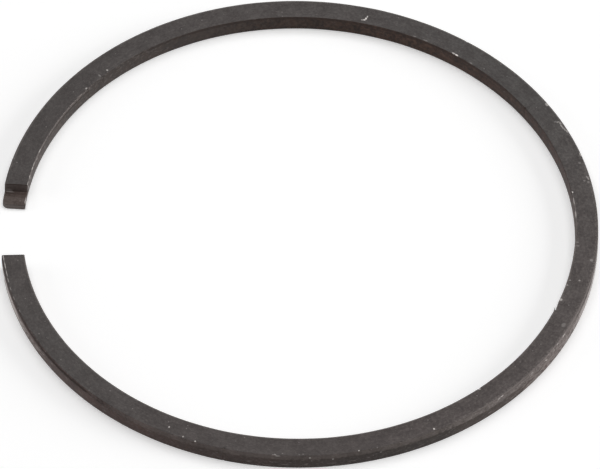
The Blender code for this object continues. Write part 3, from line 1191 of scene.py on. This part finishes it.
def block(degrees, out=WHOLE_WIDTH, up=UPPER_SIDE, **look):
    """Inputs of a patch: its limits in degrees, outwards and up, and the rest by name."""
    values = {name.replace("_", " ").capitalize(): value for name, value in look.items()}
    values["Lowest"] = (round_mm(degrees[0]), out[0], up[0])
    values["Highest"] = (round_mm(degrees[1]), out[1], up[1])
    return values


def on_top(marks):
    """Marks of the upper side face, which are listed without their height."""
    return [(degrees, out, HEIGHT, *rest) for degrees, out, *rest in marks]


finish(
    lapped_side,
    coat={"Dark": (0.0215, 0.0159, 0.0151, 1), "Light": (0.0645, 0.0538, 0.0516, 1),
          "Speck size": 0.42},
    lines={"Run": 1.6, "Pitch": 0.2, "Rise": 0.2},
    rubbed={"Reach": 0.12, "Strength": 0.15},
    flecks={"Scarcity": 0.93},
    roughness=(0.52, 0.4),
    gloss=0.33,
    # painted light and shade: each stop sets how light this face is painted at that angle round
    # the ring
    light_and_shade=[
        (-170, 0.83, 0.95),
        (-150, 0.84, 0.92),
        (-110, 0.86, 0.98),
        (-60, 0.84, 1.02),
        (-15, 0.98, 0.98),
        (40, 0.94, 0.88),
        (100, 0.95, 0.94),
        (150, 0.75, 0.94),
    ],
    worn_and_lit=[
        block((-170, 2), out=(-1.6, -1.43), fade=(12, 0.12, 1), run=3.0, speck_size=0.2, cover=1.0,
              softness=0.2, strength=0.4),
        block((-60, 18), fade=(20, 1, 1), speck_size=0.5, cover=0.4, softness=0.1, strength=0.2),
        block((16, 66), out=(1.44, 1.6), fade=(12, 0.14, 1), speck_size=0.2, cover=1.1,
              softness=0.2, strength=0.26),
        block((-56, 15), out=(1.3, 1.6), fade=(12, 0.3, 1), cover=0.5, strength=0.36),
        block((-52, -24), out=(1.46, 1.6), fade=(9, 0.12, 1), cover=1.1, softness=0.2,
              strength=0.4),
        block((30, 165), out=(1.4, 1.6), fade=(12, 0.2, 1), run=4.0, cover=0.9, strength=0.3),
    ],
    marks=on_top([
        # the first seven marks are a painted highlight along the outer top edge beside the gap
        (-174.7, 1.36, 0.9, 0.08, 0.55),
        (-172.6, 1.34, 0.9, 0.08, 0.6),
        (-170.6, 1.36, 0.8, 0.07, 0.5),
        (-168.8, 1.41, 0.6, 0.07, 0.45),
        (-166.5, 1.46, 0.4, 0.07, 0.4),
        (-164.0, 1.5, 0.5, 0.07, 0.35),
        (-160.5, 1.5, 0.4, 0.07, 0.3),
        (79.75, -0.96, 0.2, 0.13, 0.5),
        (79.3, -0.88, 0.25, 0.17, 0.8),
        (79.05, -0.6, 0.18, 0.28, 0.85),
        (78.9, -0.2, 0.12, 0.25, 0.8),
        (58.1, -1.42, 0.4, 0.15, 0.6),
        (57.3, -1.46, 0.35, 0.16, 0.85),
        (67.7, -1.4, 0.3, 0.12, 0.25),
        (65.1, -1.42, 0.5, 0.12, 0.25),
        (53.5, -1.45, 0.3, 0.12, 0.25),
        (34.7, 1.35, 0.4, 0.3, 0.5),
        (29.9, 0.7, 0.2, 0.25, 0.18),
        (29.6, 1.0, 0.18, 0.3, 0.35),
        (29.1, 1.2, 0.3, 0.16, 0.5),
        (28.4, 1.1, 0.35, 0.14, 0.5),
        (27.8, 1.12, 0.35, 0.14, 0.45),
        (27.2, 1.22, 0.35, 0.14, 0.45),
        (26.6, 1.36, 0.3, 0.16, 0.5),
        (20.0, 1.45, 0.45, 0.16, 0.5),
        (17.9, 0.85, 0.25, 0.25, 0.18),
        (14.0, 1.12, 0.3, 0.12, 0.35),
        (13.5, 1.25, 0.3, 0.14, 0.45),
        (12.6, 1.13, 0.25, 0.2, 0.25),
        (13.1, 0.65, 0.2, 0.2, 0.25),
        (10.4, -1.45, 0.22, 0.18, 0.9),
        (8.0, -1.5, 0.9, 0.12, 0.45),
        (4.2, -1.48, 0.9, 0.12, 0.5),
        (-3.6, -1.25, 0.12, 0.3, 0.25),
        (-4.6, -1.15, 0.12, 0.35, 0.25),
        (-8.1, 1.05, 0.3, 0.3, 0.3),
        (-13.85, 0.08, 0.16, 0.2, 0.45),
        (-14.3, -1.2, 0.16, 0.2, 0.35),
        (-15.75, -1.35, 0.2, 0.2, 0.4),
        (-20.0, -1.36, 0.3, 0.25, 0.65),
        (-26.1, 0.72, 0.5, 0.35, 0.2),
        (-50.4, -1.4, 0.2, 0.2, 0.8),
        (-64.0, 1.14, 0.15, 0.19, 0.75),
        (-79.6, 1.5, 0.14, 0.2, 0.8),
        (-96.0, 1.5, 0.35, 0.2, 0.5),
        (-111.6, 1.5, 0.15, 0.25, 1.0),
        (-114.2, 1.27, 0.14, 0.18, 0.5),
        (-117.7, 0.48, 0.14, 0.18, 0.75),
        (144.7, -1.46, 0.25, 0.2, 0.55),
        (140.1, -1.15, 0.16, 0.35, 0.25),
        (137.9, -1.2, 0.2, 0.2, 0.5),
    ]),
)

# %% [markdown]
# The inner wall was turned, and its lines run all the way round. The coat is thinnest here,
# so it is brown. Near the end with the lower tongue the wall faces the light: patches of
# bare-iron colour paint that light on it, and a streak along its top edge and a few spots
# are painted highlights. Its marks are listed by degrees, height, half their size round and
# up, and strength.

# %% Finish of the inner wall
def on_wall(out, marks):
    """Marks of a wall, which are listed without their distance out."""
    return [(degrees, out, *rest) for degrees, *rest in marks]


finish(
    turned_wall,
    coat={"Dark": (0.009, 0.003, 0.001, 1), "Light": (0.096, 0.051, 0.035, 1), "Speck size": 0.5,
          "Cloud size": 1.8},
    lines={"Run": 6.0, "Pitch": 0.22, "Rise": 0.22},
    rubbed={"Reach": 0.12, "Strength": 0.15},
    flecks={"Scarcity": 0.96},
    roughness=(0.55, 0.4),
    gloss=0.24,
    # painted light and shade: the wall is painted lighter or darker at each angle for how the
    # light falls on it there
    light_and_shade=[
        (-150, 0.8, 1.0),
        (20, 0.4, 1.3),
        (45, 0.65, 1.05),
        (70, 0.84, 1.0),
        (95, 0.5, 0.98),
        (120, 0.36, 0.9),
        (150, 0.33, 0.9),
        (175, 0.36, 1.0),
    ],
    worn_and_lit=[
        # painted light on the stretch near the gap that faces the light, with a painted highlight
        # along its top edge
        block((125, 182), up=(-1.0, 3.0), fade=(28, 1, 1), speck_size=0.45, cover=1.3,
              softness=0.3, strength=0.16),
        block((150, 180), up=(2.2, 2.5), fade=(12, 1, 0.5), run=2.5, speck_size=0.16, cover=0.65,
              strength=0.7),
        block((130, 180), up=(0.0, 2.5), fade=(14, 1, 1), run=2.0, cover=0.45, strength=0.35),
    ],
    # dark lines along the wall, below its top edge and low beside the gap
    darkened=[
        block((35, 118), up=(2.1, 2.4), fade=(14, 1, 0.16), run=3.0, speck_size=0.3, cover=0.85,
              strength=0.6),
        block((150, 176), up=(1.75, 1.95), fade=(10, 1, 0.2), run=8.0, speck_size=0.2, cover=0.8,
              strength=0.7),
    ],
    marks=on_wall(-WIDTH / 2, [
        # painted highlights on the stretch near the gap that faces the light
        (165.0, 2.4, 0.6, 0.16, 0.7),
        (166.8, 2.0, 0.4, 0.25, 0.5),
        (168.9, 2.42, 0.5, 0.14, 0.7),
        (170.2, 2.42, 0.4, 0.2, 0.9),
        (172.5, 2.35, 0.35, 0.2, 0.9),
        (172.2, 1.8, 0.3, 0.2, 0.5),
        (174.7, 2.42, 0.6, 0.12, 0.7),
        (174.2, 1.35, 0.4, 0.3, 0.45),
        (173.4, 0.55, 0.3, 0.2, 0.3),
        (175.4, 0.55, 0.4, 0.25, 0.45),
        (177.3, 0.65, 0.7, 0.3, 0.6),
    ]),
)

# %% [markdown]
# The running face is the one that slides in the cylinder. Its upright band at the foot was
# lapped, so it is smoother, and it shines where it is seen along its length. At the right
# the coat is partly rubbed off; there and beside the gap, patches of bare-iron colour that
# are strongest at the foot also paint the pale reflection of the white surroundings, which
# the face shows where it is seen at a grazing angle.

# %% Finish of the band
finish(
    running_face,
    coat={"Dark": (0.026, 0.009, 0.005, 1), "Light": (0.08, 0.041, 0.031, 1)},
    lines={"Run": 14.0, "Pitch": 0.1, "Rise": 0.1},
    rubbed={"Reach": 0.16, "Strength": 0.2},
    flecks={"Scarcity": 0.95},
    roughness=(0.45, 0.2),
    gloss=0.3,
    # painted light and shade: the band is painted lighter or darker at each angle for how the
    # light falls on it there
    light_and_shade=[
        (-170, 0.85, 1.2),
        (-150, 0.78, 1.18),
        (-130, 0.74, 1.1),
        (-105, 0.5, 1.02),
        (-85, 0.38, 0.92),
        (-67, 0.42, 0.72),
        (-52, 0.7, 0.76),
        (-30, 0.9, 1.0),
        (-14, 0.6, 1.0),
    ],
    worn_and_lit=[
        block((-48, -34), up=(1.55, 1.7), fade=(12, 1, 0.12), speck_size=0.35, cover=1.2,
              softness=0.25, strength=0.42),
        # at the right: partly rubbed coat, partly painted reflection of the white surroundings,
        # strongest at the foot
        block((-36, 0), up=(0.0, 1.4), fade=(11, 1, 0.3), run=3.0, cover=0.68, strength=0.6),
        block((-16, 0), up=(-1.0, 0.6), fade=(8, 1, 0.9), run=3.0, cover=1.4, softness=0.2,
              strength=1.0),
        # beside the gap: painted reflection of the white surroundings
        block((-180, -165), up=(-1.0, 0.8), fade=(8, 1, 1.0), run=3.0, cover=1.4, softness=0.2,
              strength=1.0),
        block((-175, -158), up=(0.0, 1.2), fade=(12, 1, 0.4), run=3.0, cover=0.7, strength=0.6),
    ],
    marks=on_wall(WIDTH / 2, [
        (-84.7, 1.55, 0.15, 0.14, 0.6),
        (-75.3, 1.5, 0.2, 0.12, 0.4),
    ]),
)

# %% [markdown]
# Above the band the face leans in and was only turned. The coat is thick and dull here,
# with a line of painted shade beside the gap, where the face reflects something dark, and
# below it a patch that paints the pale reflection of the white surroundings. It is rubbed
# to a stippled grey at the right of the ring, where a hand or a box wall touched it, and
# along the near side it is lighter towards the top edge.

# %% Finish of the taper above the band
finish(
    tapered_face,
    coat={"Dark": (0.0228, 0.0157, 0.0138, 1), "Light": (0.0775, 0.0598, 0.054, 1),
          "Speck size": 0.4},
    lines={"Run": 14.0, "Pitch": 0.1, "Rise": 0.1},
    rubbed={"Reach": 0.16, "Strength": 0.2},
    flecks={"Scarcity": 0.95},
    roughness=(0.58, 0.36),
    gloss=0.12,
    # painted light and shade: the taper is painted lighter or darker at each angle for how the
    # light falls on it there
    light_and_shade=[
        (-168, 0.8, 1.2),
        (-145, 1.1, 1.14),
        (-120, 1.5, 1.02),
        (-100, 1.5, 0.97),
        (-67, 1.6, 0.9),
        (-50, 1.1, 0.92),
        (-30, 0.8, 1.08),
        (0, 0.45, 1.0),
    ],
    worn_and_lit=[
        block((-50, -32), up=(1.5, 2.6), fade=(14, 1, 0.25), speck_size=0.35, cover=1.3,
              softness=0.25, strength=0.43),
        block((-50, -32), up=(1.65, 2.3), fade=(13, 1, 0.2), cover=0.5, strength=0.95),
        block((-56, -42), up=(1.8, 2.2), fade=(10, 1, 0.2), speck_size=0.35, cover=0.7,
              softness=0.1, strength=0.6),
        block((-28, 0), up=(2.3, 2.6), fade=(9, 1, 0.4), cover=1.0, softness=0.15, strength=0.6),
        # lighter towards the top edge along the near side
        block((-120, -56), up=(2.05, 2.6), fade=(14, 1, 0.55), speck_size=0.5, cover=1.2,
              softness=0.2, strength=0.27),
        # painted reflection of the white surroundings, low beside the gap
        block((-176, -150), up=(1.0, 1.4), fade=(14, 1, 0.35), run=3.0, cover=1.2, softness=0.2,
              strength=0.5),
    ],
    darkened=[
        # painted shade: a dark reflection in a line beside the gap
        block((-178, -145), up=(1.85, 2.2), fade=(12, 1, 0.14), run=5.0, speck_size=0.3, cover=1.1,
              strength=0.8),
    ],
    marks=on_wall(WIDTH / 2, [
        (-95.4, 2.38, 0.5, 0.12, 0.5),
        (-89.15, 2.05, 0.15, 0.15, 0.8),
        (-49.0, 2.3, 0.3, 0.2, 0.55),
        (-48.2, 2.45, 0.35, 0.15, 0.6),
        (-39.7, 2.2, 0.35, 0.25, 0.35),
        (-35.3, 1.98, 0.16, 0.14, 0.9),
        (-35.0, 1.82, 0.16, 0.14, 1.0),
        (-34.8, 1.68, 0.14, 0.12, 0.7),
        (-32.2, 1.95, 0.25, 0.25, 0.4),
        (-30.9, 2.34, 0.3, 0.15, 0.5),
        (-28.4, 2.4, 0.5, 0.14, 0.6),
    ]),
)

# %% [markdown]
# The milled steps were cut last of all before the bath. The lines of the cutter run across
# the tongues, a few tenths of a millimetre apart. The shoulder wall lies in shade, so it is
# painted lighter, with a line of painted shade along its top. Painted highlights lie at its
# foot and along the inner edge of the lower tongue, and the lower part of that tongue's tip,
# which faces the light, is painted lighter.

# %% Finish of the milled steps
finish(
    milled_step,
    coat={"Dark": (0.022, 0.014, 0.011, 1), "Light": (0.055, 0.042, 0.037, 1)},
    lines={"Run": 0.25, "Pitch": 6.0, "Rise": 0.25},
    rubbed={"Reach": 0.1, "Strength": 0.2},
    flecks={"Scarcity": 0.95},
    roughness=(0.52, 0.4),
    gloss=0.33,
    # painted light and shade round the ring; the stop at 174.7 degrees paints the shoulder wall,
    # which lies in shade, lighter
    light_and_shade=[
        (-180, 1.0, 1.0),
        (170, 1.0, 1.0),
        (174.7, 1.95, 1.08),
        (176.3, 1.35, 1.0),
        (180, 1.35, 1.0),
    ],
    worn_and_lit=[
        # painted light on the shoulder wall, which lies in shade
        block((174, 176), up=(1.1, 2.3), fade=(1, 1, 0.06), speck_size=0.35, cover=1.3,
              softness=0.2, strength=0.33),
        # painted light on the lower part of the lower tongue's tip, which faces the light
        block((178.5, 181), up=(-1.0, 0.7), fade=(0.1, 1, 0.1), cover=1.3, softness=0.2,
              strength=0.4),
    ],
    darkened=[
        # painted shade along the top of the shoulder
        block((174, 176), up=(2.36, 2.6), fade=(1, 1, 0.06), cover=1.3, strength=0.9),
    ],
    marks=[
        # painted highlights along the inner edge of the lower tongue and across the foot of the
        # shoulder
        (177.6, -1.53, 0.85, 0.6, 0.08, 0.9),
        (176.9, -1.53, 0.85, 0.5, 0.08, 0.7),
        (175.4, 0.9, 0.85, 0.1, 0.8, 0.3),
    ],
)

# %% [markdown]
# The edges that were broken with a stone are a little brighter than the faces beside them.

# %% Finish of the broken edges
finish(
    broken_edge,
    coat={"Dark": (0.03, 0.022, 0.02, 1), "Light": (0.07, 0.06, 0.055, 1)},
    lines={"Run": 0.5, "Pitch": 0.5, "Rise": 0.5},
    rubbed={"Reach": 0.3, "Strength": 0.35},
    flecks={"Scarcity": 0.95},
    roughness=(0.5, 0.36),
    gloss=0.35,
    light_and_shade=[(-180, 1.0, 1.0), (180, 1.0, 1.0)],
)

# %% [markdown]
# The stage: a plain pale floor that keeps the ring's soft shadow. Its colour is nearly
# white, and for what the camera and the reflections see it gives off a little light of its
# own, so that it reaches white without more light on the ring. From below it is clear.

# %% Floor
FLOOR_REACH = 1.5
FLOOR_LEVEL = -0.00002
FLOOR_GLOW = 0.3


def seen_directly(tree):
    """1 for what the camera, reflections and glass see, and 0 for light that falls on things."""
    ray = tree.nodes.new("ShaderNodeLightPath").outputs
    seen = Term(tree, ray["Is Camera Ray"]).larger(Term(tree, ray["Is Glossy Ray"]))
    return seen.larger(Term(tree, ray["Is Transmission Ray"]))


floor_mesh = bpy.data.meshes.new("floor")
floor_corners = [(-1, -1), (1, -1), (1, 1), (-1, 1)]
floor_corners = [(x * FLOOR_REACH, y * FLOOR_REACH, FLOOR_LEVEL) for x, y in floor_corners]
floor_mesh.from_pydata(floor_corners, [], [(0, 1, 2, 3)])
floor = bpy.data.objects.new("floor", floor_mesh)
bpy.context.collection.objects.link(floor)
paper = bpy.data.materials.new("pale_floor")
paper.use_nodes = True
paper_tree = paper.node_tree
paper_tree.nodes.clear()
pale = add_node(paper_tree, "ShaderNodeBsdfDiffuse", {"Color": (0.9, 0.9, 0.9, 1)})
glow = seen_directly(paper_tree) * FLOOR_GLOW
glow = add_node(paper_tree, "ShaderNodeEmission", {"Strength": glow})
both = add_node(paper_tree, "ShaderNodeAddShader", {0: pale.outputs[0], 1: glow.outputs[0]})
clear = paper_tree.nodes.new("ShaderNodeBsdfTransparent")
below = paper_tree.nodes.new("ShaderNodeNewGeometry").outputs["Backfacing"]
inputs = {0: below, 1: both.outputs[0], 2: clear.outputs[0]}
sides = add_node(paper_tree, "ShaderNodeMixShader", inputs)
add_node(paper_tree, "ShaderNodeOutputMaterial", {"Surface": sides.outputs[0]})
floor_mesh.materials.append(paper)
arrange(paper_tree, "pale_floor")

# %% [markdown]
# The light is plain: a large soft box overhead, a weaker one to the right that picks out
# the running face, a faint one to the left, and an even white room. The room shows white to
# the camera and in reflections, but it lights the ring less than that.

# %% Lights and room
ROOM_LIGHT = 0.08


def soft_box(name, place, width, watts):
    """Square lamp that is aimed at the middle of the ring."""
    data = bpy.data.lights.new(name, "AREA")
    data.shape = "SQUARE"
    data.size = width
    data.energy = watts
    lamp = bpy.data.objects.new(name, data)
    bpy.context.collection.objects.link(lamp)
    lamp.location = place
    towards_ring = -Vector(place)
    lamp.rotation_euler = towards_ring.to_track_quat("-Z", "Y").to_euler()
    radiance = watts / (math.pi * width ** 2)
    print(name, "radiance:", round(radiance, 2))


soft_box("overhead_box", (0.0, 0.15, 1.1), width=1.2, watts=8.5)
soft_box("right_box", (0.95, 0.0, 0.35), width=0.6, watts=5.5)
soft_box("left_box", (-0.95, 0.0, 0.35), width=0.6, watts=1.5)

world = bpy.data.worlds.new("white_room")
bpy.context.scene.world = world
world.use_nodes = True
room_tree = world.node_tree
room_tree.nodes.clear()
strength = ROOM_LIGHT + seen_directly(room_tree) * (1 - ROOM_LIGHT)
inputs = {"Color": (1, 1, 1, 1), "Strength": strength}
room = add_node(room_tree, "ShaderNodeBackground", inputs)
add_node(room_tree, "ShaderNodeOutputWorld", {"Surface": room.outputs[0]})
arrange(room_tree, "white_room")
bpy.context.scene.view_settings.view_transform = "Standard"
